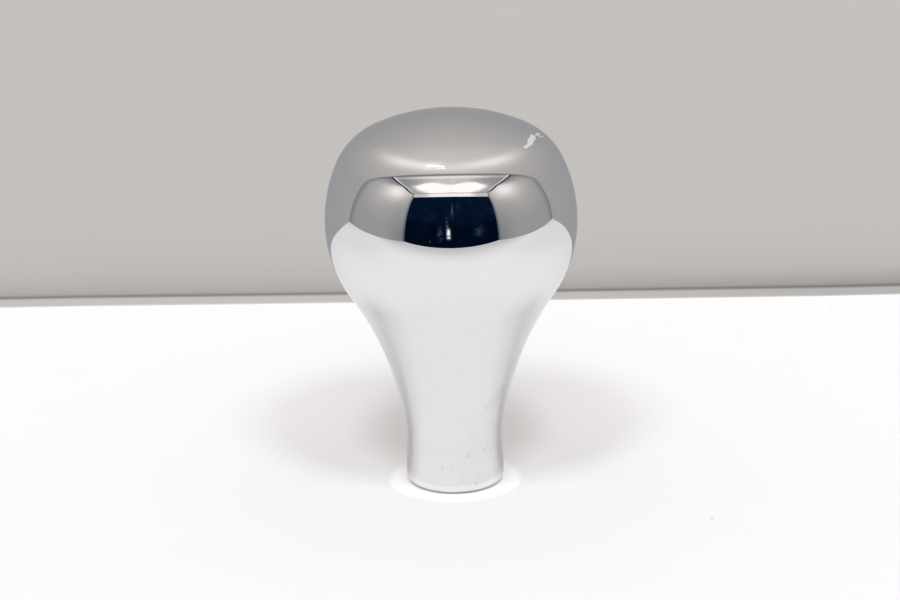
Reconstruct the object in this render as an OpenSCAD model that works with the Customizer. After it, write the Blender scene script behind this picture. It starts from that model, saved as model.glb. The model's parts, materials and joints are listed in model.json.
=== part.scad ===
// Gear shift knob: one turned and polished piece that screws onto the end of a gear lever.
// It stands on the end of its neck. +Z runs up its axis and the origin is the centre of its base.
// The outline is a chain of arcs, and each arc is tangent to the next one.

/* [Bulb] */
// Width across the widest ring of the bulb
bulb_d = 52; // [44:0.5:60]
// Height of the crown above the widest ring
crown_h = 22.8; // [18:0.1:28]
// Radius of the nearly flat dome on top
dome_r = 40; // [32:0.5:60]
// Radius of the tight bend between the dome and the flank
shoulder_r = 14; // [8:0.1:18]
// Radius of the flank above the widest ring
upper_flank_r = 29.8; // [24:0.1:38]
// Radius of the flank below the widest ring
lower_flank_r = 26.9; // [20:0.1:34]

/* [Neck] */
// Width of the straight end of the neck
neck_d = 20.6; // [18:0.1:26]
// Length of the straight end, from the base up
neck_straight_h = 9.2; // [4:0.1:20]
// Radius of the hollow curve where the neck starts to widen
neck_blend_r = 27; // [12:0.5:50]
// Angle that this curve has turned through where the waist takes over
neck_blend_turn = 6.5; // [2:0.1:14]
// Radius of the long hollow curve of the waist
waist_r = 65.5; // [52:0.5:90]
// Radius of the rounded edge round the base
base_edge_r = 1.5; // [0.5:0.1:3]

/* [Lever thread] */
// Outer width of the thread on the lever
thread_d = 10; // [8:0.25:12]
// Pitch of that thread
thread_pitch = 1.5; // [1:0.25:1.75]
// Depth of the full hole, from the base up
thread_depth = 28; // [18:0.5:40]
// Width of the bevel round the mouth of the hole
mouth_bevel = 1.25; // [0.5:0.05:2]
// Angle of the point that the drill leaves
drill_point = 118; // [90:1:140]

/* [Hidden] */
$fn = 180;

// Direction at an angle above level, seen in the half outline
function direction(angle) = [cos(angle), sin(angle)];

// Angle above level from one point to another
function heading(from, to) = atan2(to[1] - from[1], to[0] - from[0]);

// The one of two crossings of two circles that lies to the right of the line between their centres
function right_crossing(centre_a, r_a, centre_b, r_b) =
    let (
        apart = norm(centre_b - centre_a),
        ahead = (centre_b - centre_a) / apart,
        right = [ahead[1], -ahead[0]],
        along = (r_a ^ 2 - r_b ^ 2 + apart ^ 2) / (2 * apart)
    )
    centre_a + along * ahead + sqrt(r_a ^ 2 - along ^ 2) * right;

bulb_r = bulb_d / 2;
neck_r = neck_d / 2;

// A joint is where one curve of the outline hands over to the next.
// It holds the point and the angle that the wall faces there.
function joint_on(centre, r, angle) = [centre + r * direction(angle), angle];

// The hollow curves have their centres outside the knob
neck_joint = [[neck_r, neck_straight_h], 0];
blend_centre = [neck_r + neck_blend_r, neck_straight_h];
blend_joint = [blend_centre - neck_blend_r * direction(-neck_blend_turn), -neck_blend_turn];
waist_centre = blend_joint[0] + waist_r * direction(-neck_blend_turn);

// The lower flank touches the waist's circle from outside, which sets the height of the widest ring
lower_flank_x = bulb_r - lower_flank_r;
ring_z = waist_centre[1] + sqrt((waist_r + lower_flank_r) ^ 2 - (waist_centre[0] - lower_flank_x) ^ 2);
lower_flank_centre = [lower_flank_x, ring_z];
waist_joint = joint_on(lower_flank_centre, lower_flank_r, heading(lower_flank_centre, waist_centre));
ring_joint = [[bulb_r, ring_z], 0];

// The shoulder's circle lies inside those of the upper flank and the dome, and touches both
upper_flank_centre = [bulb_r - upper_flank_r, ring_z];
overall_h = ring_z + crown_h;
dome_centre = [0, overall_h - dome_r];
shoulder_centre = right_crossing(
    dome_centre, dome_r - shoulder_r, upper_flank_centre, upper_flank_r - shoulder_r);
flank_joint = joint_on(upper_flank_centre, upper_flank_r, heading(upper_flank_centre, shoulder_centre));
dome_joint = joint_on(dome_centre, dome_r, heading(dome_centre, shoulder_centre));
crown_joint = [[0, overall_h], 90];

// The tapped hole
tap_drill_r = (thread_d - thread_pitch) / 2;
drill_point_h = tap_drill_r / tan(drill_point / 2);
below = 1;

// How far the bands below reach to each side of the outline, which is past the deepest of its curves
reach = 6;
function inner(joint) = joint[0] - reach * direction(joint[1]);
function outer(joint) = joint[0] + reach * direction(joint[1]);

// Four-sided band across the outline, from one joint to the next
module band(start, end) {
    polygon([inner(start), outer(start), outer(end), inner(end)]);
}

// A coarse move and a fine one, so that tangent circles keep touching to the last digit
module place(centre) {
    coarse = [for (v = centre) round(v * 100) / 100];
    translate(coarse) translate(centre - coarse) children();
}

// The part of a band that lies in the knob where its wall bulges
module bulging(centre, r, start, end) {
    intersection() {
        band(start, end);
        place(centre) circle(r);
    }
}

// The part of a band that lies in the knob where its wall is hollow
module hollow(centre, r, start, end) {
    difference() {
        band(start, end);
        place(centre) circle(r);
    }
}

// Everything inside the bands
module core() {
    polygon([
        [0, 0],
        [neck_r, 0],
        neck_joint[0],
        inner(neck_joint),
        inner(blend_joint),
        inner(waist_joint),
        inner(ring_joint),
        inner(flank_joint),
        inner(dome_joint),
        inner(crown_joint)
    ]);
}

// What the rounded edge takes off the square corner at the base
module base_edge_waste() {
    edge_x = neck_r - base_edge_r;
    difference() {
        translate([edge_x, -below]) square(base_edge_r + below);
        translate([edge_x, base_edge_r]) circle(base_edge_r);
    }
}

// Half of the outline, from the axis outwards
module outline() {
    difference() {
        union() {
            core();
            hollow(blend_centre, neck_blend_r, neck_joint, blend_joint);
            hollow(waist_centre, waist_r, blend_joint, waist_joint);
            bulging(lower_flank_centre, lower_flank_r, waist_joint, ring_joint);
            bulging(upper_flank_centre, upper_flank_r, ring_joint, flank_joint);
            bulging(shoulder_centre, shoulder_r, flank_joint, dome_joint);
            bulging(dome_centre, dome_r, dome_joint, crown_joint);
        }
        base_edge_waste();
    }
}

// Half of the tapped hole, with its bevelled mouth and the point that the drill leaves
module hole_outline() {
    polygon([
        [0, -below],
        [tap_drill_r + mouth_bevel + below, -below],
        [tap_drill_r, mouth_bevel],
        [tap_drill_r, thread_depth],
        [0, thread_depth + drill_point_h]
    ]);
}

module knob_body() {
    color("silver")
        rotate_extrude()
            difference() {
                outline();
                hole_outline();
            }
}

knob_body();
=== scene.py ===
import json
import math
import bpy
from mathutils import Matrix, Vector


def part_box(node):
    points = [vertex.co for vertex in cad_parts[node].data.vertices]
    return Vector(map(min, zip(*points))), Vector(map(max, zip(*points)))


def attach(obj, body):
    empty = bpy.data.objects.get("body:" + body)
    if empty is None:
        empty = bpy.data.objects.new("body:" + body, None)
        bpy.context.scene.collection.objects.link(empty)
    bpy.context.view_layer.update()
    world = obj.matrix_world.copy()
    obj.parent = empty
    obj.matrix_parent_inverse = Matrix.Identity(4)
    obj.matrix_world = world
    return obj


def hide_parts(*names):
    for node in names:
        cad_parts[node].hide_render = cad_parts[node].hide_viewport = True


bl_info = {
    "name": "Gear Shift Knob",
    "version": (1, 0, 0),
    "blender": (4, 5, 0),
    "location": "View3D > Sidebar > Knob",
    "description": "Builds a polished gear shift knob and the light tent that it mirrors",
    "category": "Object",
}

from collections import namedtuple

import bmesh
import bpy
from mathutils import Matrix, Vector

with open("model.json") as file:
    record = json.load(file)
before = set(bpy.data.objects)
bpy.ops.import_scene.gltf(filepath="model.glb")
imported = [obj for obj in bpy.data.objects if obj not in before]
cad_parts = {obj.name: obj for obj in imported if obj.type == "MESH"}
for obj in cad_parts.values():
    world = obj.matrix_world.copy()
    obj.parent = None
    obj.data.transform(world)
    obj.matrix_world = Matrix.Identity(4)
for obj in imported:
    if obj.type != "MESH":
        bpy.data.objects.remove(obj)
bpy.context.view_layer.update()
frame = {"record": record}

# The frame's own sizes, in metres, and what the hole's mount says in millimetres
MM = 0.001
NODE = "knob_body"
BODY = "root"
NODE_LOW, NODE_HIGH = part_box(NODE)
HOLE = next(m for m in frame["record"]["mounts"] if m["name"] == "lever_thread")["dims"]
MOUTH_BEVEL = 1.25 * MM
HOLE_DEPTH = HOLE["length_mm"] * MM + MOUTH_BEVEL

# How finely the surface is laid out
ROWS_PER_PITCH = 8
WELD = 1e-6
SHARP_EDGE = math.radians(25)

# The middle of the bulb, which tones that are given by direction are seen from
BULB_MIDDLE = (0.0, 0.0, 60 * MM)


# Sizes, finish and studio, as a user would change them


def metres(name, description, default):
    return bpy.props.FloatProperty(
        name=name, description=description, default=default, unit="LENGTH", precision=5
    )


def degrees(name, description, default):
    return bpy.props.FloatProperty(
        name=name, description=description, default=math.radians(default), subtype="ANGLE"
    )


def fraction(name, description, default):
    return bpy.props.FloatProperty(
        name=name, description=description, default=default, min=0.0, max=1.0
    )


def tint(name, description, default):
    return bpy.props.FloatVectorProperty(
        name=name, description=description, default=default, subtype="COLOR"
    )


class KnobSizes(bpy.types.PropertyGroup):
    """The knob's dimensions, as the solid has them"""

    bulb_width: metres(
        "Bulb Width", "Width across the widest ring of the bulb", NODE_HIGH.x - NODE_LOW.x
    )
    crown_height: metres("Crown Height", "Height of the crown above the widest ring", 22.8 * MM)
    dome_radius: metres("Dome Radius", "Radius of the nearly flat dome on top", 40 * MM)
    shoulder_radius: metres(
        "Shoulder Radius", "Radius of the tight bend between the dome and the flank", 14 * MM
    )
    upper_flank_radius: metres(
        "Upper Flank Radius", "Radius of the flank above the widest ring", 29.8 * MM
    )
    lower_flank_radius: metres(
        "Lower Flank Radius", "Radius of the flank below the widest ring", 26.9 * MM
    )
    neck_width: metres("Neck Width", "Width of the straight end of the neck", 20.6 * MM)
    neck_straight: metres(
        "Straight Length", "Length of the neck's straight end, from the base up", 9.2 * MM
    )
    neck_blend_radius: metres(
        "Neck Blend Radius", "Radius of the hollow curve where the neck starts to widen", 27 * MM
    )
    neck_blend_turn: degrees(
        "Neck Blend Turn",
        "Angle that this curve has turned through where the waist takes over",
        6.5,
    )
    waist_radius: metres("Waist Radius", "Radius of the long hollow curve of the waist", 65.5 * MM)
    base_edge_radius: metres(
        "Base Edge Radius", "Radius of the rounded edge round the base", 1.5 * MM
    )
    drill_radius: metres(
        "Drill Radius", "Radius of the hole between the turns of the thread", HOLE["r_mm"] * MM
    )
    thread_radius: metres("Thread Radius", "Radius at the bottom of the thread's grooves", 5 * MM)
    thread_pitch: metres("Thread Pitch", "Rise of the thread in one turn", 1.5 * MM)
    mouth_bevel: metres(
        "Mouth Bevel", "Width of the bevel round the mouth of the hole", MOUTH_BEVEL
    )
    hole_depth: metres("Hole Depth", "Depth of the full hole, from the base up", HOLE_DEPTH)
    thread_runout: metres(
        "Thread Runout", "Plain wall that is left above the last turn of the thread", 3 * MM
    )
    drill_point: degrees("Drill Point", "Angle of the point that the drill leaves", 118)
    around: bpy.props.IntProperty(
        name="Steps Around",
        description="Faces in each ring of the surface",
        default=216,
        min=24,
    )


class KnobFinish(bpy.types.PropertyGroup):
    """The plating and what use has left on it"""

    chrome: tint("Chrome", "Colour that the plating gives to what it mirrors", (0.83, 0.812, 0.817))
    glancing: tint(
        "Glancing",
        "Tint that the plating takes on where it is seen at a glancing angle",
        (0.86, 0.88, 0.91),
    )
    roughness: fraction("Roughness", "Roughness of the clean plating", 0.012)
    smear_roughness: fraction(
        "Smear Roughness", "Roughness where fingers have smeared the plating", 0.045
    )
    smear_dimming: fraction("Smear Dimming", "Share of the light that the smears take away", 0.05)
    pale_mark: tint(
        "Pale Mark", "Dull pale colour of the spots where the plating is scuffed", (0.45, 0.45, 0.42)
    )
    pale_line: tint(
        "Pale Line", "Pale colour of the fine lines beside the patches", (0.9, 0.88, 0.85)
    )
    smudge: tint("Smudge", "Colour that the plating has where it is smudged", (0.45, 0.43, 0.43))
    cut_metal: tint("Cut Metal", "Colour of the bare metal inside the hole", (0.62, 0.62, 0.61))


class KnobStudio(bpy.types.PropertyGroup):
    """Camera, floor, backdrop and lamps"""

    lens: bpy.props.FloatProperty(
        name="Lens",
        description="Focal length on a sensor 36 mm wide, in millimetres",
        default=88.0,
    )
    camera_distance: metres(
        "Camera Distance", "How far the camera stands in front of the knob's axis", 438.2 * MM
    )
    camera_height: metres("Camera Height", "Height of the camera above the floor", 172.6 * MM)
    camera_down: degrees("Camera Down", "How far the camera looks down", 16.902)
    camera_aside: degrees("Camera Aside", "How far the camera looks to the right", -0.066)
    camera_lean: degrees(
        "Camera Lean", "How far the camera leans to the right about its own line of sight", 0.993
    )
    floor: tint("Floor", "Colour of the floor", (0.995, 0.988, 0.992))
    backdrop: tint("Backdrop", "Colour of the backdrop well above the floor", (0.556, 0.53, 0.511))
    lamp_radius: metres(
        "Lamp Radius", "Radius of each of the two lamps over the front of the tent", 34 * MM
    )
    lamp_share: bpy.props.FloatVectorProperty(
        name="Lamp Share",
        description="Share of the floor's light that comes from each lamp, in red, green and blue",
        default=(0.139, 0.178, 0.185),
        min=0.0,
        max=0.5,
    )
    light_level: bpy.props.FloatProperty(
        name="Light Level",
        description="Light on the floor under the knob, where 1 shows a colour as it is written",
        default=1.35,
    )


GROUPS = (
    ("knob_sizes", KnobSizes),
    ("knob_finish", KnobFinish),
    ("knob_studio", KnobStudio),
)


# Node trees, written as plain arithmetic


def linear(*levels):
    """A colour for a socket, from levels out of 255 as a screen shows them"""
    shares = [level / 255 for level in levels]
    return tuple(s / 12.92 if s <= 0.04045 else ((s + 0.055) / 1.055) ** 2.4 for s in shares)


class Value:
    """A number in a node tree, where each operation adds a Math node"""

    def __init__(self, tree, socket):
        self.tree = tree
        self.socket = socket

    def math(self, operation, *others):
        return self.tree.math(operation, self, *others)

    def __add__(self, other):
        return self.math("ADD", other)

    def __sub__(self, other):
        return self.math("SUBTRACT", other)

    def __rsub__(self, other):
        return self.tree.math("SUBTRACT", other, self)

    def __mul__(self, other):
        return self.math("MULTIPLY", other)

    def __truediv__(self, other):
        return self.math("DIVIDE", other)

    def __rtruediv__(self, other):
        return self.tree.math("DIVIDE", other, self)

    def __neg__(self):
        return self.math("MULTIPLY", -1.0)

    __radd__ = __add__
    __rmul__ = __mul__

    def limited(self, low=0.0, high=1.0):
        return self.math("MAXIMUM", low).math("MINIMUM", high)

    def rising(self, start, end):
        """0 before start, 1 after end, and smooth between them"""
        return self.tree.value(
            "ShaderNodeMapRange",
            "Result",
            {"Value": self, "From Min": start, "From Max": end},
            interpolation_type="SMOOTHSTEP",
        )

    def falling(self, start, end):
        """1 before start, 0 after end, and smooth between them"""
        return 1.0 - self.rising(start, end)

    def hump(self, centre, width):
        """1 at the centre, fading to both sides as a bell does"""
        away = (self - centre) / width
        return (-(away * away)).math("EXPONENT")


def between(first, second, share):
    """The first value where the share is 0, and the second where it is 1"""
    return first + (second - first) * share


class Tree:
    """A node tree under construction"""

    def __init__(self, tree):
        self.tree = tree

    def add(self, kind, inputs=None, **settings):
        """A new node, whose inputs are given by name or by number"""
        node = self.tree.nodes.new(kind)
        for name, value in settings.items():
            setattr(node, name, value)
        for name, value in (inputs or {}).items():
            self.feed(node.inputs[name], value)
        return node

    def feed(self, socket, value):
        if isinstance(value, Value):
            value = value.socket
        if isinstance(value, bpy.types.NodeSocket):
            self.tree.links.new(value, socket)
        else:
            socket.default_value = value

    def value(self, kind, output, inputs=None, **settings):
        """One output of a new node"""
        return Value(self, self.add(kind, inputs, **settings).outputs[output])

    def math(self, operation, *values):
        return self.value("ShaderNodeMath", 0, dict(enumerate(values)), operation=operation)

    def vector(self, operation, *values, output="Vector"):
        given = dict(enumerate(values))
        return self.value("ShaderNodeVectorMath", output, given, operation=operation)

    def scaled(self, vector, factor):
        given = {0: vector, "Scale": factor}
        return self.value("ShaderNodeVectorMath", "Vector", given, operation="SCALE")

    def parts(self, vector):
        node = self.add("ShaderNodeSeparateXYZ", {"Vector": vector})
        return [Value(self, socket) for socket in node.outputs]

    def joined(self, x, y, z):
        return self.value("ShaderNodeCombineXYZ", "Vector", {"X": x, "Y": y, "Z": z})

    def noise(self, position, scale, detail, roughness=0.5):
        given = {"Vector": position, "Scale": scale, "Detail": detail, "Roughness": roughness}
        return self.value("ShaderNodeTexNoise", "Fac", given)

    def mixed(self, share, first, second):
        """Two colours mixed"""
        given = {"Factor": share, 6: first, 7: second}
        return self.value("ShaderNodeMix", 2, given, data_type="RGBA")

    def blended(self, share, first, second):
        """Two shaders mixed"""
        return self.value("ShaderNodeMixShader", "Shader", {"Fac": share, 1: first, 2: second})

    def group(self, group, inputs):
        kind = "GeometryNodeGroup" if group.bl_idname == "GeometryNodeTree" else "ShaderNodeGroup"
        return self.add(kind, inputs, node_tree=group)


def new_group(name, kind, inputs, outputs):
    """An empty node group with its sockets, and the nodes that they show up on inside it"""
    group = bpy.data.node_groups.new(name, kind)
    for label, socket in inputs:
        group.interface.new_socket(label, in_out="INPUT", socket_type=socket)
    for label, socket in outputs:
        group.interface.new_socket(label, in_out="OUTPUT", socket_type=socket)
    tree = Tree(group)
    return tree, tree.add("NodeGroupInput"), tree.add("NodeGroupOutput")


FLOAT = "NodeSocketFloat"
INT = "NodeSocketInt"
VECTOR = "NodeSocketVector"
COLOUR = "NodeSocketColor"
GEOMETRY = "NodeSocketGeometry"
MATERIAL = "NodeSocketMaterial"


# The turned surface

ARC_SIZES = ("Centre Radius", "Centre Height", "Radius", "Start Angle", "End Angle")
CONE_SIZES = ("Start Radius", "Start Height", "End Radius", "End Height")
TAP_SIZES = ("Drill Radius", "Thread Radius", "Pitch", "Turns", "Bevel", "Depth", "Thread End")


def turned_group(name, sizes, place):
    """Rows of faces round the axis, each at the radius and height that place gives it"""
    sockets = [(size, FLOAT) for size in sizes] + [("Rings", INT), ("Around", INT)]
    tree, given, made = new_group(name, "GeometryNodeTree", sockets, [("Mesh", GEOMETRY)])
    size = {label: Value(tree, given.outputs[label]) for label, _ in sockets}
    steps = {"Vertices X": size["Rings"] + 1, "Vertices Y": size["Around"] + 1}
    grid = tree.add("GeometryNodeMeshGrid", {"Size X": 1.0, "Size Y": 1.0, **steps})
    x, y, _ = tree.parts(tree.value("GeometryNodeInputPosition", "Position"))
    along, turned = x + 0.5, y + 0.5
    radius, height = place(size, along, turned)
    angle = turned * (2 * math.pi)
    spot = tree.joined(radius * angle.math("COSINE"), radius * angle.math("SINE"), height)
    laid = tree.add("GeometryNodeSetPosition", {"Geometry": grid.outputs["Mesh"], "Position": spot})
    tree.feed(made.inputs["Mesh"], laid.outputs["Geometry"])
    return tree.tree


def arc_place(size, along, turned):
    angle = between(size["Start Angle"], size["End Angle"], along)
    radius = size["Centre Radius"] + size["Radius"] * angle.math("COSINE")
    height = size["Centre Height"] + size["Radius"] * angle.math("SINE")
    return radius, height


def cone_place(size, along, turned):
    radius = between(size["Start Radius"], size["End Radius"], along)
    return radius, between(size["Start Height"], size["End Height"], along)


def tap_place(size, along, turned):
    """The grooves climb one pitch for each turn, meet the bevel below and run out above"""
    # Shares of the pitch: a flank, and half of the root together with a flank
    flank = 0.3125
    root_and_flank = 0.375
    phase = along * size["Turns"]
    height = ((phase + turned - 1.0) * size["Pitch"]).limited(0.0, size["Depth"])
    off_root = (phase.math("FRACT") - 0.5).math("ABSOLUTE")
    groove = ((root_and_flank - off_root) / flank).limited()
    left = ((size["Thread End"] - height) / size["Pitch"]).limited()
    threaded = size["Drill Radius"] + (size["Thread Radius"] - size["Drill Radius"]) * groove * left
    bevelled = size["Drill Radius"] + size["Bevel"] - height
    return threaded.math("MAXIMUM", bevelled), height


Band = namedtuple("Band", "name kind values rings metal")


def toward(angle):
    return Vector((math.cos(angle), math.sin(angle)))


def bearing(start, end):
    return math.atan2(end.y - start.y, end.x - start.x)


def right_crossing(centre_a, r_a, centre_b, r_b):
    """The crossing of two circles that lies to the right of the line between their centres"""
    apart = (centre_b - centre_a).length
    ahead = (centre_b - centre_a) / apart
    along = (r_a**2 - r_b**2 + apart**2) / (2 * apart)
    return centre_a + along * ahead + math.sqrt(r_a**2 - along**2) * Vector((ahead.y, -ahead.x))


def outline_bands(s):
    """The knob's outline from the crown down, across the base and up the hole"""
    bulb_r, neck_r, edge_r = s.bulb_width / 2, s.neck_width / 2, s.base_edge_radius
    blend = Vector((neck_r + s.neck_blend_radius, s.neck_straight))
    waist = blend + (s.waist_radius - s.neck_blend_radius) * toward(-s.neck_blend_turn)
    lower_x = bulb_r - s.lower_flank_radius
    touching = s.waist_radius + s.lower_flank_radius
    ring_z = waist.y + math.sqrt(touching**2 - (waist.x - lower_x) ** 2)
    lower = Vector((lower_x, ring_z))
    upper = Vector((bulb_r - s.upper_flank_radius, ring_z))
    dome = Vector((0.0, ring_z + s.crown_height - s.dome_radius))
    shoulder = right_crossing(
        dome, s.dome_radius - s.shoulder_radius, upper, s.upper_flank_radius - s.shoulder_radius
    )
    dome_end = bearing(dome, shoulder)
    shoulder_end = bearing(upper, shoulder)
    flank_end = bearing(lower, waist)
    mouth_r = s.drill_radius + s.mouth_bevel
    point_z = s.hole_depth + s.drill_radius / math.tan(s.drill_point / 2)
    turns = math.ceil(s.hole_depth / s.thread_pitch) + 1
    half_turn = math.pi
    blend_start = half_turn - s.neck_blend_turn

    def arc(name, centre, radius, start, end, rings):
        return Band(name, "arc", (centre.x, centre.y, radius, start, end), rings, "plated")

    def cone(name, start, end, rings, metal):
        return Band(name, "cone", (*start, *end), rings, metal)

    thread = (s.drill_radius, s.thread_radius, s.thread_pitch, float(turns))
    tapped = (*thread, s.mouth_bevel, s.hole_depth, s.hole_depth - s.thread_runout)
    return [
        arc("Dome", dome, s.dome_radius, math.pi / 2, dome_end, 30),
        arc("Shoulder", shoulder, s.shoulder_radius, dome_end, shoulder_end, 34),
        arc("Upper Flank", upper, s.upper_flank_radius, shoulder_end, 0.0, 24),
        arc("Lower Flank", lower, s.lower_flank_radius, 0.0, flank_end, 30),
        arc("Waist", waist, s.waist_radius, flank_end + half_turn, blend_start, 40),
        arc("Neck Blend", blend, s.neck_blend_radius, blend_start, half_turn, 6),
        cone("Neck", (neck_r, s.neck_straight), (neck_r, edge_r), 5, "plated"),
        arc("Base Edge", Vector((neck_r - edge_r, edge_r)), edge_r, 0.0, -math.pi / 2, 12),
        cone("Base Face", (neck_r - edge_r, 0.0), (mouth_r, 0.0), 3, "plated"),
        Band("Tapped Wall", "tap", tapped, turns * ROWS_PER_PITCH, "cut"),
        cone("Drill Point", (s.drill_radius, s.hole_depth), (0.0, point_z), 6, "cut"),
    ]


def knob_tree(bands):
    """The tree that joins all bands, and each of its inputs' values"""
    kinds = {
        "arc": (turned_group("Turned Arc", ARC_SIZES, arc_place), ARC_SIZES),
        "cone": (turned_group("Turned Cone", CONE_SIZES, cone_place), CONE_SIZES),
        "tap": (turned_group("Tapped Wall", TAP_SIZES, tap_place), TAP_SIZES),
    }
    sockets = [("Around", INT), ("Plated", MATERIAL), ("Cut", MATERIAL)]
    values = {}
    for band in bands:
        sizes = kinds[band.kind][1]
        sockets += [(f"{band.name} {size}", FLOAT) for size in sizes]
        sockets.append((f"{band.name} Rings", INT))
        values.update({f"{band.name} {size}": value for size, value in zip(sizes, band.values)})
        values[f"{band.name} Rings"] = band.rings
    mesh = [("Geometry", GEOMETRY)]
    tree, given, made = new_group("Turned Knob", "GeometryNodeTree", mesh + sockets, mesh)
    join = tree.add("GeometryNodeJoinGeometry")
    for band in bands:
        group, sizes = kinds[band.kind]
        inputs = {size: given.outputs[f"{band.name} {size}"] for size in sizes}
        inputs["Rings"] = given.outputs[f"{band.name} Rings"]
        inputs["Around"] = given.outputs["Around"]
        surface = tree.group(group, inputs).outputs["Mesh"]
        finish = given.outputs["Plated" if band.metal == "plated" else "Cut"]
        painted = tree.add("GeometryNodeSetMaterial", {"Geometry": surface, "Material": finish})
        tree.feed(join.inputs["Geometry"], painted.outputs["Geometry"])
    weld = {"Geometry": join.outputs["Geometry"], "Distance": WELD}
    welded = tree.value("GeometryNodeMergeByDistance", "Geometry", weld)
    real = tree.value("GeometryNodeRealizeInstances", "Geometry", {"Geometry": welded})
    tree.feed(made.inputs["Geometry"], real)
    return tree.tree, values


def placed(name, data):
    """A new object in the scene"""
    thing = bpy.data.objects.new(name, data)
    bpy.context.scene.collection.objects.link(thing)
    return thing


def mesh_from_tree(name, tree, values):
    """A plain mesh object with what the tree makes from these values"""
    start = placed(name + "_start", bpy.data.meshes.new(name + "_start"))
    modifier = start.modifiers.new("Tree", "NODES")
    modifier.node_group = tree
    for item in tree.interface.items_tree:
        if item.item_type == "SOCKET" and item.in_out == "INPUT" and item.name in values:
            modifier[item.identifier] = values[item.name]
    start.update_tag()
    graph = bpy.context.evaluated_depsgraph_get()
    mesh = bpy.data.meshes.new_from_object(start.evaluated_get(graph), depsgraph=graph)
    mesh.name = name
    start.modifiers.remove(modifier)
    bpy.data.objects.remove(start)
    return placed(name, mesh)


def close_surface(piece):
    """Turns the faces outwards, marks sharp edges and makes sure that nothing is open"""
    body = bmesh.new()
    body.from_mesh(piece.data)
    bmesh.ops.dissolve_degenerate(body, dist=WELD / 10, edges=body.edges)
    bmesh.ops.recalc_face_normals(body, faces=body.faces)
    if body.calc_volume(signed=True) < 0:
        bmesh.ops.reverse_faces(body, faces=body.faces)
    for edge in body.edges:
        if len(edge.link_faces) != 2:
            body.free()
            raise RuntimeError("the knob's surface is open")
        edge.smooth = edge.calc_face_angle(0.0) < SHARP_EDGE
    for face in body.faces:
        face.smooth = True
    body.to_mesh(piece.data)
    body.free()


# Effects that the finishes share


def new_mask(name, vectors, numbers):
    """An empty group that puts out a mask, with its inputs by name and the mask's socket"""
    sockets = [(label, VECTOR) for label in vectors] + [(label, FLOAT) for label in numbers]
    tree, given, made = new_group(name, "ShaderNodeTree", sockets, [("Mask", FLOAT)])
    values = {label: Value(tree, given.outputs[label]) for label, _ in sockets}
    return tree, values, made.inputs["Mask"]


def smear_group():
    """Soft smears that run up and down the knob"""
    tree, given, mask = new_mask("Smears", ["Position"], ["Size", "Stretch", "Cover"])
    size = given["Size"]
    x, y, z = tree.parts(given["Position"])
    spot = tree.joined(x / size, y / size, z / (size * given["Stretch"]))
    cloud = tree.noise(spot, 1.0, 4.0, 0.55)
    edge = 1.0 - given["Cover"]
    tree.feed(mask, cloud.rising(edge, edge + 0.25))
    return tree.tree


def speck_group():
    """Grains of dust, where only some cells hold one"""
    tree, given, mask = new_mask("Specks", ["Position"], ["Spacing", "Grain", "Share"])
    spacing = given["Spacing"]
    scale = spacing.math("POWER", -1.0)
    cells = tree.add("ShaderNodeTexVoronoi", {"Vector": given["Position"], "Scale": scale})
    grain = given["Grain"] / spacing
    near = Value(tree, cells.outputs["Distance"]).falling(grain * 0.6, grain * 1.2)
    red, green, _ = tree.parts(cells.outputs["Color"])
    chosen = given["Share"].math("GREATER_THAN", red)
    tree.feed(mask, near * chosen * (0.4 + 0.6 * green))
    return tree.tree


def stroke_group():
    """A ragged stroke between two points"""
    tree, given, mask = new_mask("Mark Stroke", ["Position", "Start", "End"], ["Width", "Ragged"])
    whole = tree.vector("SUBTRACT", given["End"], given["Start"])
    reached = tree.vector("SUBTRACT", given["Position"], given["Start"])
    along = tree.vector("DOT_PRODUCT", reached, whole, output="Value")
    length = tree.vector("DOT_PRODUCT", whole, whole, output="Value")
    share = (along / length).limited()
    away = tree.vector("DISTANCE", reached, tree.scaled(whole, share), output="Value")
    chips = tree.noise(given["Position"], 1500.0, 3.0, 0.6)
    edge = away / given["Width"] + (chips - 0.5) * given["Ragged"]
    tree.feed(mask, edge.falling(0.45, 0.6))
    return tree.tree


def direction_group():
    """Where a place lies, seen from a middle, in degrees from the front and above level"""
    tree, given, made = new_group(
        "Direction",
        "ShaderNodeTree",
        [("Position", VECTOR), ("Middle", VECTOR)],
        [("Azimuth", FLOAT), ("Elevation", FLOAT)],
    )
    from_middle = tree.vector("SUBTRACT", given.outputs["Position"], given.outputs["Middle"])
    x, y, z = tree.parts(from_middle)
    level = (x * x + y * y).math("SQRT")
    to_degrees = 180 / math.pi
    tree.feed(made.inputs["Azimuth"], x.math("ARCTAN2", -y) * to_degrees)
    tree.feed(made.inputs["Elevation"], z.math("ARCTAN2", level) * to_degrees)
    return tree.tree


# Tones of the tent's cloth, from a dark gap up to a lamp behind it, as they look in the plating
CLOTH_TONES = (
    (0.0, (0, 2, 12)),
    (0.07, (4, 19, 38)),
    (0.3, (68, 76, 86)),
    (0.47, (117, 120, 124)),
    (0.57, (144, 145, 147)),
    (0.665, (171, 169, 167)),
    (0.8, (207, 203, 199)),
    (1.0, (255, 255, 254)),
)


def cloth_group():
    """The colour that a level of brightness has"""
    tree, given, made = new_group(
        "Cloth Tone", "ShaderNodeTree", [("Level", FLOAT)], [("Color", COLOUR)]
    )
    ramp = tree.add("ShaderNodeValToRGB", {"Fac": given.outputs["Level"]})
    stops = ramp.color_ramp.elements
    while len(stops) < len(CLOTH_TONES):
        stops.new(0.5)
    for stop, (place, colour) in zip(stops, CLOTH_TONES):
        stop.position = place
        stop.color = (*linear(*colour), 1.0)
    tree.feed(made.inputs["Color"], ramp.outputs["Color"])
    return tree.tree


def shared(name, build):
    """A node group that is built once and then found again"""
    return bpy.data.node_groups.get(name) or build()


def masked(tree, name, build, inputs):
    """The mask that a shared effect puts out"""
    return Value(tree, tree.group(shared(name, build), inputs).outputs["Mask"])


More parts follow.
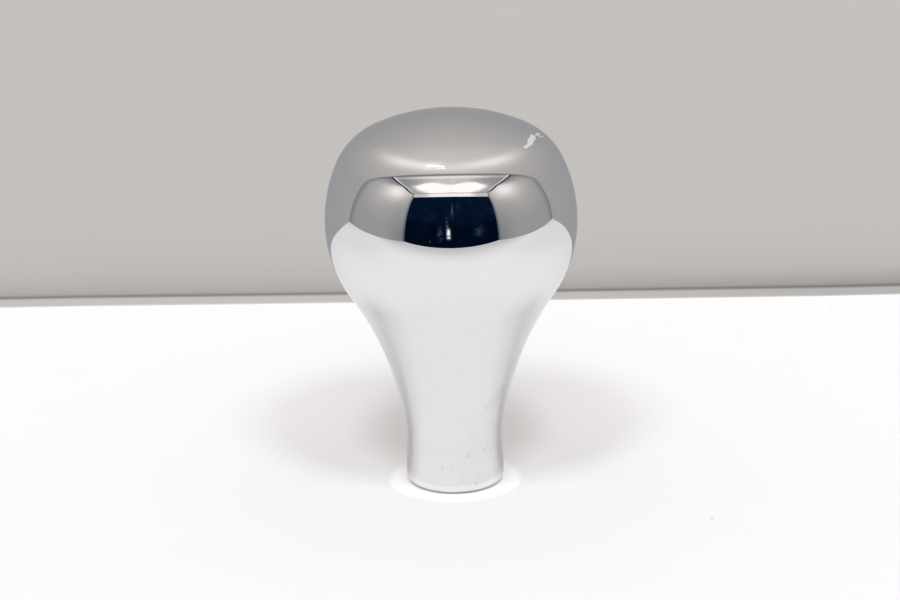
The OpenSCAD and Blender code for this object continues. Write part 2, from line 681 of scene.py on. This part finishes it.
def new_material(name):
    """An empty material, with its tree and its output"""
    material = bpy.data.materials.new(name)
    material.use_nodes = True
    material.node_tree.nodes.clear()
    tree = Tree(material.node_tree)
    return material, tree, tree.add("ShaderNodeOutputMaterial")


# Marks: each stroke's start and end in millimetres, its width, how ragged and how strong it is
# Pale patches near the top of the bulb and pale lines near its front, where the plating gives way
# to a flat dull pale colour
PALE_PATCHES = (
    ((14.9, -11.9, 74.4), (16.2, -9.4, 74.7), 0.6, 0.5, 1.0),
    ((15.9, -9.6, 74.8), (16.8, -5.8, 75.3), 1.1, 0.45, 1.0),
    ((17.3, -4.4, 75.2), (18.2, -1.8, 75.0), 0.45, 0.7, 0.8),
    ((18.0, -3.7, 74.9), (18.9, -2.6, 74.4), 0.35, 0.7, 0.8),
)
PALE_LINES = (
    ((-4.5, -20.15, 73.05), (-1.3, -20.72, 72.92), 0.34, 0.15, 1.0),
    ((-2.6, -20.9, 72.6), (-0.9, -21.0, 72.6), 0.24, 0.4, 0.4),
)
SMUDGES = (
    ((2.7, -9.9, 8.9), (2.7, -9.9, 8.3), 0.5, 0.8, 0.26),
    ((6.1, -8.3, 9.4), (6.0, -8.3, 8.9), 0.6, 0.9, 0.24),
    ((6.8, -7.7, 10.9), (6.8, -7.7, 10.6), 0.5, 0.9, 0.2),
    ((-2.7, -9.95, 6.2), (-2.7, -9.95, 5.6), 0.4, 0.8, 0.22),
    ((-0.8, -10.3, 6.2), (-0.8, -10.3, 5.7), 1.0, 1.4, 0.07),
    ((5.2, -8.9, 13.0), (4.6, -9.2, 3.5), 6.0, 2.6, 0.07),
    ((3.6, -10.48, 16.4), (6.0, -9.66, 17.9), 0.22, 0.9, 0.16),
    ((4.0, -10.18, 15.6), (6.6, -9.04, 17.0), 0.22, 0.9, 0.16),
    ((7.2, -9.09, 19.0), (9.6, -7.53, 21.5), 2.6, 1.8, 0.13),
    ((-14.8, -10.4, 75.1), (-14.5, -10.5, 75.1), 0.35, 0.2, 0.45),
    ((5.7, -4.2, 78.9), (5.9, -4.1, 78.9), 0.35, 0.2, 0.5),
    ((4.3, -9.4, 2.2), (4.3, -9.4, 1.9), 0.4, 0.3, 0.5),
    ((4.8, -9.1, 3.2), (5.0, -9.0, 2.8), 0.25, 0.9, 0.25),
)


def stroke_mask(tree, position, strokes):
    """Where any of these strokes is"""
    found = None
    for start, end, width, ragged, strength in strokes:
        sizes = {
            "Position": position,
            "Start": tuple(c * MM for c in start),
            "End": tuple(c * MM for c in end),
            "Width": width * MM,
            "Ragged": ragged,
        }
        mask = strength * masked(tree, "Mark Stroke", stroke_group, sizes)
        found = mask if found is None else found.math("MAXIMUM", mask)
    return found


def finished(material, tree, output, inputs, relief):
    """A principled surface with its relief, linked to the material's output"""
    bump = tree.value("ShaderNodeBump", "Normal", relief)
    surface = tree.value("ShaderNodeBsdfPrincipled", "BSDF", {**inputs, "Normal": bump})
    tree.feed(output.inputs["Surface"], surface)
    return material


def chrome_material(finish):
    """Mirror plating with smears, dust, smudges and a few pale patches and lines"""
    dust_strength, pale_roughness, smudge_roughness = 0.35, 0.6, 0.05
    material, tree, output = new_material("mirror_chrome")
    position = tree.value("ShaderNodeTexCoord", "Object")

    def smears(size, stretch, cover):
        inputs = {"Position": position, "Size": size, "Stretch": stretch, "Cover": cover}
        return masked(tree, "Smears", smear_group, inputs)

    grains = {"Position": position, "Spacing": 0.0022, "Grain": 0.00014, "Share": 0.22}
    dust = masked(tree, "Specks", speck_group, grains) * dust_strength
    smeared = (smears(0.006, 3.5, 0.42) * 0.6 + smears(0.0011, 2.2, 0.36) * 0.4).limited()
    # Pale dull patches and lines where the plating gives way to a flat pale colour
    dulled = stroke_mask(tree, position, PALE_PATCHES)
    lined = stroke_mask(tree, position, PALE_LINES)
    smudged = stroke_mask(tree, position, SMUDGES)
    dimmed = tuple(c * (1 - finish.smear_dimming) for c in finish.chrome)
    plated = tree.mixed(smeared, (*finish.chrome, 1.0), (*dimmed, 1.0))
    plated = tree.mixed(smudged, plated, (*finish.smudge, 1.0))
    marked = tree.mixed((dust + dulled).limited(), plated, (*finish.pale_mark, 1.0))
    marked = tree.mixed(lined, marked, (*finish.pale_line, 1.0))
    dull = (dust + dulled + lined).limited()
    roughness = between(finish.roughness, finish.smear_roughness, smeared)
    roughness = roughness + smudge_roughness * smudged
    inputs = {
        "Base Color": marked,
        "Metallic": 1.0 - dull,
        "Roughness": between(roughness, pale_roughness, dull),
        "Specular Tint": (*finish.glancing, 1.0),
    }
    height = dulled * -1.0 + smeared * 0.004
    relief = {"Height": height, "Distance": 0.00001, "Strength": 0.3}
    return finished(material, tree, output, inputs, relief)


def cut_material(finish):
    """Bare metal with the fine rings that a tap and a drill leave"""
    across, along = 60.0, 9000.0
    material, tree, output = new_material("cut_metal")
    x, y, z = tree.parts(tree.value("ShaderNodeTexCoord", "Object"))
    ring = tree.noise(tree.joined(x * across, y * across, z * along), 1.0, 2.0)
    darker = tuple(c * 0.72 for c in finish.cut_metal)
    tone = tree.mixed(ring.rising(0.3, 0.7), (*darker, 1.0), (*finish.cut_metal, 1.0))
    inputs = {"Base Color": tone, "Metallic": 1.0, "Roughness": 0.24 + ring * 0.2}
    relief = {"Height": ring, "Distance": 0.00001, "Strength": 0.4}
    return finished(material, tree, output, inputs, relief)


# The tent round the knob, in millimetres: corners and curves of its left and right side
TentSide = namedtuple(
    "TentSide",
    "front_foot mouth_top hem_top roof_corner back_x back_bulge mouth_bow seam_bow foot_bow",
)
LEFT = TentSide(
    front_foot=Vector((-299, -345, 0)),
    mouth_top=Vector((-262, -355, 268)),
    hem_top=Vector((-264, -355, 297)),
    roof_corner=Vector((-457, -148, 448)),
    back_x=-665,
    back_bulge=Vector((-666, 107, 305)),
    mouth_bow=Vector((-11.5, 0, 0)),
    seam_bow=Vector((-26, 0, -10)),
    foot_bow=Vector((-27, 0, 0)),
)
RIGHT = TentSide(
    front_foot=Vector((298, -340.5, 0)),
    mouth_top=Vector((267, -355, 266)),
    hem_top=Vector((265, -355, 300)),
    roof_corner=Vector((476, -133, 447)),
    back_x=670,
    back_bulge=Vector((675, 131, 262)),
    mouth_bow=Vector((11, 0, 0)),
    seam_bow=Vector((25, 0, -7)),
    foot_bow=Vector((-11, 0, 0)),
)
HEM_FROM = 0.88
MOUTH_SAG = Vector((0, 0, -17))
HEM_SAG = Vector((0, 0, -23))
FRONT_BOW = Vector((0, 26, 0))
ROOF_BOW = Vector((0, -116, 0))
BACK_LINE = 128.4
BACK_SLOPE = -0.0107
BACK_BOW = 3e-5
BACK_STEP = 5
STEP_WIDTH = 120
SHEET_DRAWN_TO = 430


def arch(share):
    """0 at both ends and 1 in the middle"""
    return 4 * share * (1 - share)


def bent(start, control, end, share):
    """A point on the curve that leaves start and reaches end, drawn towards control"""
    return (1 - share) ** 2 * start + 2 * share * (1 - share) * control + share**2 * end


def back_foot(x):
    """The line where floor and backdrop meet, which is a little bowed and steps at its sides"""
    beyond = BACK_STEP * max(0.0, min(1.0, (abs(x) - STEP_WIDTH) / STEP_WIDTH))
    return Vector((x, BACK_LINE + BACK_SLOPE * x + BACK_BOW * x * x + math.copysign(beyond, x), 0))


def mouth_side(side, rise):
    return side.front_foot.lerp(side.mouth_top, rise) + arch(rise**1.4) * side.mouth_bow


def mouth_point(share, rise):
    """The opening, whose foot and top are both curved"""
    flat = mouth_side(LEFT, rise).lerp(mouth_side(RIGHT, rise), share)
    return flat + arch(share) * FRONT_BOW.lerp(MOUTH_SAG, rise)


def hem_edge(share):
    return LEFT.hem_top.lerp(RIGHT.hem_top, share) + arch(share) * HEM_SAG


def hem_point(share, rise):
    return mouth_point(share, 1.0).lerp(hem_edge(share), rise)


def roof_edge(share):
    return LEFT.roof_corner.lerp(RIGHT.roof_corner, share) + arch(share) ** 1.15 * ROOF_BOW


def canopy_point(share, rise):
    """The slanting front of the roof, between the hem and the edge of the backdrop sheet"""
    bow = LEFT.seam_bow.lerp(RIGHT.seam_bow, share) * abs(2 * share - 1)
    return hem_edge(share).lerp(roof_edge(share), rise) + arch(rise**0.55) * bow


def sheet_point(share, rise):
    """The backdrop sheet, which stands up behind the knob and bends over to the canopy"""
    x = between(LEFT.back_x, RIGHT.back_x, share)
    foot, top = back_foot(x), roof_edge(share)
    upright = Vector(((foot.x + top.x) / 2, BACK_LINE, SHEET_DRAWN_TO))
    outer = LEFT.back_bulge if share < 0.5 else RIGHT.back_bulge
    at_side = abs(2 * share - 1) ** 4
    return bent(foot, upright.lerp(outer, at_side), top, rise)


def side_point(side, share, rise):
    """A side panel, from the opening to the edge that it shares with the sheet"""
    edge = 0 if side is LEFT else 1
    if rise < HEM_FROM:
        front = mouth_side(side, rise / HEM_FROM)
    else:
        front = side.mouth_top.lerp(side.hem_top, (rise - HEM_FROM) / (1 - HEM_FROM))
    back = sheet_point(edge, rise)
    seam = canopy_point(edge, share) - side.hem_top.lerp(side.roof_corner, share)
    return front.lerp(back, share) + seam * rise**4 + arch(share) * (1 - rise) * side.foot_bow


def meshed(name, body, material):
    """An object with this surface"""
    mesh = bpy.data.meshes.new(name)
    body.to_mesh(mesh)
    body.free()
    mesh.materials.append(material)
    return placed(name, mesh)


def panel(name, point, columns, rows, material):
    """A sheet of the tent over a grid, seen by mirrors only"""
    sheet = bmesh.new()
    chart = sheet.loops.layers.uv.new("Panel")
    grid = [
        [sheet.verts.new(point(c / columns, r / rows) * MM) for c in range(columns + 1)]
        for r in range(rows + 1)
    ]
    for r in range(rows):
        for c in range(columns):
            corners = [(c, r), (c + 1, r), (c + 1, r + 1), (c, r + 1)]
            face = sheet.faces.new([grid[y][x] for x, y in corners])
            face.smooth = True
            for loop, (x, y) in zip(face.loops, corners):
                loop[chart].uv = (x / columns, y / rows)
    hung = meshed(name, sheet, material)
    for ray in ("camera", "diffuse", "shadow", "transmission", "volume_scatter"):
        setattr(hung, f"visible_{ray}", False)
    return hung


# How much brighter cloth is than what the plating shows of it
CLOTH_STRENGTH = 1.2

# Where a panel is looked at: direction in degrees, place on the panel, and the same in metres
Spot = namedtuple("Spot", "tree azimuth front elevation across up position")


def cloth_material(name, level_at):
    """Lit cloth, with its level worked out from the direction and the place on its panel"""
    material, tree, output = new_material(name)
    coordinates = tree.add("ShaderNodeTexCoord")
    position = coordinates.outputs["Object"]
    seen = tree.group(
        shared("Direction", direction_group), {"Position": position, "Middle": BULB_MIDDLE}
    )
    across, up, _ = tree.parts(coordinates.outputs["UV"])
    azimuth = Value(tree, seen.outputs["Azimuth"])
    elevation = Value(tree, seen.outputs["Elevation"])
    spot = Spot(tree, azimuth, azimuth.math("ABSOLUTE"), elevation, across, up, position)
    tone = tree.group(shared("Cloth Tone", cloth_group), {"Level": level_at(spot)})
    lit = {"Color": tone.outputs["Color"], "Strength": CLOTH_STRENGTH}
    tree.feed(output.inputs["Surface"], tree.value("ShaderNodeEmission", "Emission", lit))
    return material


def ridge(off, below, above, blend):
    """1 along a line, fading at one rate below it and at another above it"""
    fading = [(-(off * off) / spread).math("EXPONENT") for spread in (below, above)]
    return between(*fading, off.rising(-blend, blend))


def sheet_level(spot):
    """Grey that brightens upwards, a bright fold overhead and shade along the roof's front edge"""
    azimuth, front, elevation = spot.azimuth, spot.front, spot.elevation
    base = 0.61 + 0.14 * elevation.rising(25.0, 98.0)
    haze = 0.045 * elevation.rising(10.0, 35.0) * (1.0 - 0.7 * elevation.rising(62.0, 88.0))
    haze = haze * front.falling(75.0, 175.0)
    off_fold = elevation - (71.6 - azimuth * azimuth * 0.0016)
    fold = ridge(off_fold, 80.0, 66.0, 1.0)
    strength = 0.08 + 0.09 * front.rising(20.0, 80.0) + 0.085 * azimuth.hump(-39.0, 17.0)
    strength = strength * front.falling(88.0, 142.0)
    crease = 0.035 * elevation.hump(65.0, 6.0) * front.falling(35.0, 60.0)
    level = base + haze + fold * strength + crease
    to_side = (spot.across - 0.5).math("ABSOLUTE")
    level = level - 0.03 * to_side.rising(0.46, 0.495) - 0.06 * to_side.rising(0.492, 0.5)
    roof = spot.up.rising(0.957, 0.988)
    return between(level, 0.5 - 0.09 * front.rising(35.0, 75.0), roof)


def side_level(spot):
    """Grey with a glow near the opening's top corner, darker along its edges and by its foot"""
    front, elevation = spot.front, spot.elevation
    off_glow = elevation - (26.3 - (front - 55.0) * 0.12)
    upright = (off_glow.hump(0.0, 6.3) - 0.5 * off_glow.rising(2.0, 8.0)).math("MAXIMUM", 0.0)
    glow = front.hump(53.5, 15.5) * upright
    halo = front.hump(70.0, 22.0) * elevation.hump(20.0, 12.0)
    shade = front.falling(40.0, 62.0) * elevation.falling(-6.0, 18.0)
    level = 0.58 + 0.3 * glow + 0.075 * halo - 0.085 * shade
    level = level - 0.09 * elevation.rising(30.0, 37.0) * front.falling(80.0, 95.0)
    level = level - 0.09 * spot.across.rising(0.8, 0.99)
    level = level - 0.2 * spot.across.falling(0.0, 0.04)
    return between(level, 0.36, spot.up.rising(0.968, 0.99))


def canopy_level(spot):
    """Two lamps behind the cloth, a pale strip above them and dark seams with a white edging"""
    azimuth, front, elevation = spot.azimuth, spot.front, spot.elevation
    crumple = spot.tree.noise(spot.position, 28.0, 3.0) - 0.5
    level = 0.55 + 0.21 * front.falling(12.0, 56.0) + crumple * 0.12
    strip = 0.89 - 0.22 * front.rising(32.0, 62.0)
    off_strip = spot.up - 0.852
    level = between(level, strip, ridge(off_strip, 0.0075, 0.0030, 0.01))
    top = 39.8 + 2.8 * (azimuth.hump(-18.0, 11.0) + azimuth.hump(18.0, 11.0))
    top = top - 4.0 * front.rising(27.0, 38.0)
    foot = 27.8 + 1.6 * azimuth.hump(0.0, 8.0) + 1.5 * front.rising(16.0, 36.0)
    lamps = (elevation - foot).rising(0.0, 4.5) * (1.0 - (elevation - top).rising(-3.0, 3.0))
    level = between(level, 1.1, lamps * front.falling(31.0, 44.0))
    to_side = (spot.across - 0.5).math("ABSOLUTE")
    level = between(level, 0.9, to_side.hump(0.463, 0.008))
    level = between(level, 0.22, to_side.rising(0.474, 0.484))
    return between(level, 0.47, spot.up.rising(0.945, 0.972))


def hem_level(spot):
    """A pale hem that is brightest in the middle, with a stitched line along its top"""
    level = 0.745 + 0.2 * spot.front.falling(16.0, 30.0)
    return level - 0.18 * spot.up.rising(0.7, 0.85)


def opening_level(spot):
    """The dark beyond the tent's opening, with a few gleams in it"""
    azimuth, elevation = spot.azimuth, spot.elevation
    shape = spot.tree.noise(spot.position, 22.0, 4.0, 0.6)
    level = 0.03 + 0.04 * elevation.rising(4.0, 12.0) + (shape - 0.5) * 0.09
    sparkle = spot.tree.noise(spot.position, 130.0, 3.0).rising(0.38, 0.6)
    slit = azimuth.hump(-2.2, 1.5) * elevation.falling(1.0, 6.0) * elevation.rising(-5.5, -2.5)
    thread = azimuth.hump(-3.6, 1.0) * elevation.hump(6.0, 4.0)
    fleck = azimuth.hump(1.0, 0.9) * elevation.hump(18.0, 4.0)
    beside = azimuth.hump(-9.5, 2.0) * elevation.hump(0.0, 5.0)
    across = azimuth.hump(24.0, 4.0) * elevation.hump(1.0, 4.0)
    gleams = 0.35 * thread + 0.3 * fleck + 0.25 * beside + 0.2 * across
    return level + slit * (0.62 + 0.7 * sparkle) + gleams * sparkle


# The two lamps over the front of the tent, in millimetres
LAMPS = (Vector((-61, -171, 346)), Vector((65, -170, 346)))


def see_through_back(tree, surface):
    """The surface from its front, and nothing from behind"""
    behind = tree.value("ShaderNodeNewGeometry", "Backfacing")
    return tree.blended(behind, surface, tree.value("ShaderNodeBsdfTransparent", "BSDF"))


def backdrop_material(studio):
    """Pale grey backdrop, faintly streaked, with painted shade low down that deepens towards the
    right, and a dark line and a pale strip along its foot
    """
    material, tree, output = new_material("studio_backdrop")
    position = tree.value("ShaderNodeTexCoord", "Object")
    x, _, z = tree.parts(position)
    height = z / MM
    shade = 1.0 - 0.21 * ((4.2 - height) / 5.5).math("EXPONENT").math("MINIMUM", 1.0)
    strip = 1.33 - 0.32 * height.rising(0.0, 0.55)
    shade = between(strip, shade, height.rising(1.9, 2.7))
    line = (height.hump(2.72, 0.43) + 0.14 * height.hump(3.3, 0.7)).limited()
    shade = between(shade, 0.46, line)
    streaks = tree.noise(tree.joined(x * 25.0, 0.0, z * 110.0), 1.0, 5.0, 0.6)
    streaks_and_shade = 0.975 + streaks * 0.05
    # Painted shade: the backdrop darker towards the right just above its foot
    streaks_and_shade = streaks_and_shade * (1.0 - 0.15 * x.rising(-0.04, 0.14) * z.falling(0.003, 0.009))
    lit = {"Color": (*studio.backdrop, 1.0), "Strength": shade * streaks_and_shade}
    light = tree.value("ShaderNodeEmission", "Emission", lit)
    tree.feed(output.inputs["Surface"], see_through_back(tree, light))
    return material


def floor_material(studio, neck_r):
    """Pale board, painted so that the lamps light it evenly, with painted shade behind the neck and
    a bright ring round the knob
    """
    material, tree, output = new_material("studio_floor")
    position = tree.value("ShaderNodeTexCoord", "Object")
    x, y, _ = tree.parts(position)
    # What the lamps give each place, next to what they give the place under the knob
    lamp = (LAMPS[0] + LAMPS[1]) / 2 * MM
    reach = lamp.length_squared
    apart = x * x + (y - lamp.y) * (y - lamp.y) + lamp.z**2
    facing = (1.0 - y * (lamp.y / reach)).math("MAXIMUM", 0.0)
    lamps = facing * (reach / apart) * (reach / apart)
    rest = tuple(1 - 2 * share for share in studio.lamp_share)
    light = tree.vector("ADD", rest, tree.scaled(studio.lamp_share, lamps * 2.0))
    worn = tree.noise(position, 45.0, 6.0, 0.65).rising(0.5, 0.8) * 0.01
    # Painted shade: the floor darker where it lies far from the lamps
    far = apart.rising(0.3, 0.6) * 0.1
    grains = {"Position": position, "Spacing": 0.012, "Grain": 0.0004, "Share": 0.35}
    specks = masked(tree, "Specks", speck_group, grains) * 0.3
    # Painted shade that only the plating shows: the floor darker behind the neck and far out
    out = (x * x + y * y).math("SQRT")
    mirrored = tree.value("ShaderNodeLightPath", "Is Glossy Ray")
    back = y / out
    behind = 0.2 * back.hump(0.36, 0.27) + 0.09 * back.rising(-0.5, 0.0) * back.falling(0.5, 0.8)
    ahead = (-back).rising(0.2, 0.9)
    outward = out.rising(40 * MM, 250 * MM) * (0.16 - 0.11 * ahead)
    outward = outward + 0.32 * (-y).rising(120 * MM, 300 * MM)
    shade_in_plating = mirrored * (behind * out.falling(28 * MM, 75 * MM) + outward)
    shaded = 0.08 * (1.0 - mirrored) * x.hump(0.0, 28 * MM) * y.hump(66 * MM, 28 * MM)
    brightness = (1.0 - worn - far - specks - shade_in_plating - shaded) / studio.light_level
    # The shadow is darkest and greyest just behind the neck
    core = (1.0 - mirrored) * x.hump(0.0, 16 * MM) * y.hump(38 * MM, 27 * MM)
    hue = tree.mixed(core, (1.0, 1.0, 1.0, 1.0), (0.82, 0.9, 0.9, 1.0))
    evened = tree.vector("MULTIPLY", tree.vector("DIVIDE", studio.floor, light), hue)
    palest = (0.97, 0.97, 0.97)
    painted = tree.vector("MINIMUM", tree.scaled(evened, brightness), palest)
    # Light that the polished neck throws down round its foot, which also fills the shadow there
    ring = out.rising(neck_r - 1.3 * MM, neck_r - 0.1 * MM)
    beside = y.rising(-4 * MM, 1 * MM)
    ring = ring * out.falling(neck_r + (3.2 - 1.0 * beside) * MM, neck_r + 4.6 * MM)
    ring = ring * (1.0 - 0.3 * y.rising(1 * MM, 7 * MM))
    spill = 0.075 * out.falling(14 * MM, 40 * MM) * y.falling(-7 * MM, 1 * MM)
    spill = spill + 0.062 * out.falling(14 * MM, 32 * MM) * beside
    thrown = ring * 0.14 + spill
    board = {
        "Base Color": painted,
        "Roughness": 0.9,
        "Specular IOR Level": 0.0,
        "Emission Color": (1.0, 0.91, 0.92, 1.0),
        "Emission Strength": thrown,
    }
    surface = tree.value("ShaderNodeBsdfPrincipled", "BSDF", board)
    tree.feed(output.inputs["Surface"], see_through_back(tree, surface))
    return material


def build_floor(material, inner_r):
    """A wide ring of floor that starts where the knob's flat base ends"""
    reach, steps = 8.0, 96
    below = -0.00003
    ring = bmesh.new()
    inner, outer = [], []
    for step in range(steps):
        way = toward(2 * math.pi * step / steps)
        inner.append(ring.verts.new((way.x * inner_r, way.y * inner_r, below)))
        outer.append(ring.verts.new((way.x * reach, way.y * reach, below)))
    for step in range(steps):
        ahead = (step + 1) % steps
        ring.faces.new([inner[step], outer[step], outer[ahead], inner[ahead]])
    floor = meshed("studio_floor", ring, material)


def build_backdrop(material):
    """The stretch of backdrop that the camera looks at, which mirrors and lamps pass through"""
    half, height, bowed = 3000, 1500, 700

    def point(across, up):
        x = half * (2 * across - 1)
        near = max(-bowed, min(bowed, x))
        return Vector((x, back_foot(near).y, height * up))

    wall = panel("studio_backdrop", point, 120, 1, material)
    wall.visible_camera = True
    wall.visible_glossy = False


def build_world(studio):
    """Even light on the floor, with the backdrop's grey wherever a camera looks past everything"""
    world = bpy.data.worlds.new("studio_world")
    world.use_nodes = True
    world.node_tree.nodes.clear()
    tree = Tree(world.node_tree)
    rest = [1 - 2 * share for share in studio.lamp_share]
    even = {"Color": (*rest, 1.0), "Strength": studio.light_level}
    plain = tree.value("ShaderNodeBackground", "Background", even)
    grey = {"Color": (*studio.backdrop, 1.0), "Strength": 1.0}
    seen = tree.value("ShaderNodeBackground", "Background", grey)
    path = tree.add("ShaderNodeLightPath")
    rays = [f"Is {kind} Ray" for kind in ("Camera", "Glossy", "Transmission")]
    direct, mirrored, clear = (Value(tree, path.outputs[ray]) for ray in rays)
    share = direct.math("MAXIMUM", mirrored).math("MAXIMUM", clear)
    mix = tree.blended(share, plain, seen)
    tree.feed(tree.add("ShaderNodeOutputWorld").inputs["Surface"], mix)
    bpy.context.scene.world = world


def build_lamps(studio):
    """Soft round lamps, each of which throws one lobe of the shadow"""
    for number, place in enumerate(LAMPS):
        spot = place * MM
        data = bpy.data.lights.new(f"studio_lamp_{number}", "AREA")
        data.shape = "DISK"
        data.size = 2 * studio.lamp_radius
        # The power that gives the floor under the knob its share of the light
        tilt = spot.z / spot.length
        strongest = max(studio.lamp_share)
        data.color = [share / strongest for share in studio.lamp_share]
        data.energy = studio.light_level * strongest * (math.pi * spot.length) ** 2 / tilt
        lamp = placed(f"studio_lamp_{number}", data)
        lamp.location = spot
        lamp.rotation_euler = spot.to_track_quat("Z", "Y").to_euler()
        lamp.visible_camera = False
        lamp.visible_glossy = False


def build_camera(studio):
    """The camera at the photograph's viewing angle"""
    down, aside = studio.camera_down, studio.camera_aside
    ahead = Vector(
        (math.sin(aside) * math.cos(down), math.cos(aside) * math.cos(down), -math.sin(down))
    )
    across = Vector((math.cos(aside), -math.sin(aside), 0.0))
    turned = Matrix((across, across.cross(ahead), -ahead)).transposed()
    data = bpy.data.cameras.new("camera")
    data.sensor_width = 36.0
    data.lens = studio.lens
    data.clip_start, data.clip_end = 0.01, 30.0
    camera = placed("camera", data)
    place = Matrix.Translation((0.0, -studio.camera_distance, studio.camera_height))
    camera.matrix_world = place @ turned.to_4x4() @ Matrix.Rotation(-studio.camera_lean, 4, "Z")
    bpy.context.scene.camera = camera


# Operators and panel


class KNOB_OT_body(bpy.types.Operator):
    """Turn the knob from its outline, tap its hole and plate it"""

    bl_idname = "knob.body"
    bl_label = "Knob"
    bl_options = {"REGISTER", "UNDO"}

    def execute(self, context):
        sizes, finish = context.scene.knob_sizes, context.scene.knob_finish
        tree, values = knob_tree(outline_bands(sizes))
        values["Around"] = sizes.around
        values["Plated"] = chrome_material(finish)
        values["Cut"] = cut_material(finish)
        piece = mesh_from_tree("polished_knob", tree, values)
        close_surface(piece)
        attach(piece, BODY)
        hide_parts(NODE)
        return {"FINISHED"}


class KNOB_OT_studio(bpy.types.Operator):
    """Set up the camera, the floor, the backdrop, the light tent and the lamps"""

    bl_idname = "knob.studio"
    bl_label = "Studio"
    bl_options = {"REGISTER", "UNDO"}

    def execute(self, context):
        sizes, studio = context.scene.knob_sizes, context.scene.knob_studio
        neck_r = sizes.neck_width / 2
        build_camera(studio)
        build_floor(floor_material(studio, neck_r), neck_r - sizes.base_edge_radius)
        build_backdrop(backdrop_material(studio))
        panel("tent_sheet", sheet_point, 48, 40, cloth_material("tent_sheet", sheet_level))
        sides = cloth_material("tent_sides", side_level)
        panel("tent_left", lambda c, r: side_point(LEFT, c, r), 16, 50, sides)
        panel("tent_right", lambda c, r: side_point(RIGHT, c, r), 16, 50, sides)
        panel("tent_canopy", canopy_point, 48, 16, cloth_material("tent_canopy", canopy_level))
        panel("tent_hem", hem_point, 48, 2, cloth_material("tent_hem", hem_level))
        panel("tent_opening", mouth_point, 48, 16, cloth_material("tent_opening", opening_level))
        build_lamps(studio)
        build_world(studio)
        context.scene.view_settings.view_transform = "Standard"
        return {"FINISHED"}


class KNOB_PT_panel(bpy.types.Panel):
    """Lists the steps that build the knob and its studio"""

    bl_idname = "KNOB_PT_panel"
    bl_label = "Gear Shift Knob"
    bl_space_type = "VIEW_3D"
    bl_region_type = "UI"
    bl_category = "Knob"

    def draw(self, context):
        for name, group in GROUPS:
            settings = getattr(context.scene, name)
            box = self.layout.box()
            for prop in group.__annotations__:
                box.prop(settings, prop)
        self.layout.operator(KNOB_OT_body.bl_idname)
        self.layout.operator(KNOB_OT_studio.bl_idname)


CLASSES = tuple(group for _, group in GROUPS) + (KNOB_OT_body, KNOB_OT_studio, KNOB_PT_panel)


def register():
    for cls in CLASSES:
        bpy.utils.register_class(cls)
    for name, group in GROUPS:
        setattr(bpy.types.Scene, name, bpy.props.PointerProperty(type=group))


def unregister():
    for name, _ in GROUPS:
        delattr(bpy.types.Scene, name)
    for cls in reversed(CLASSES):
        bpy.utils.unregister_class(cls)


def main():
    register()
    bpy.ops.knob.body()
    bpy.ops.knob.studio()


if __name__ == "__main__":
    main()
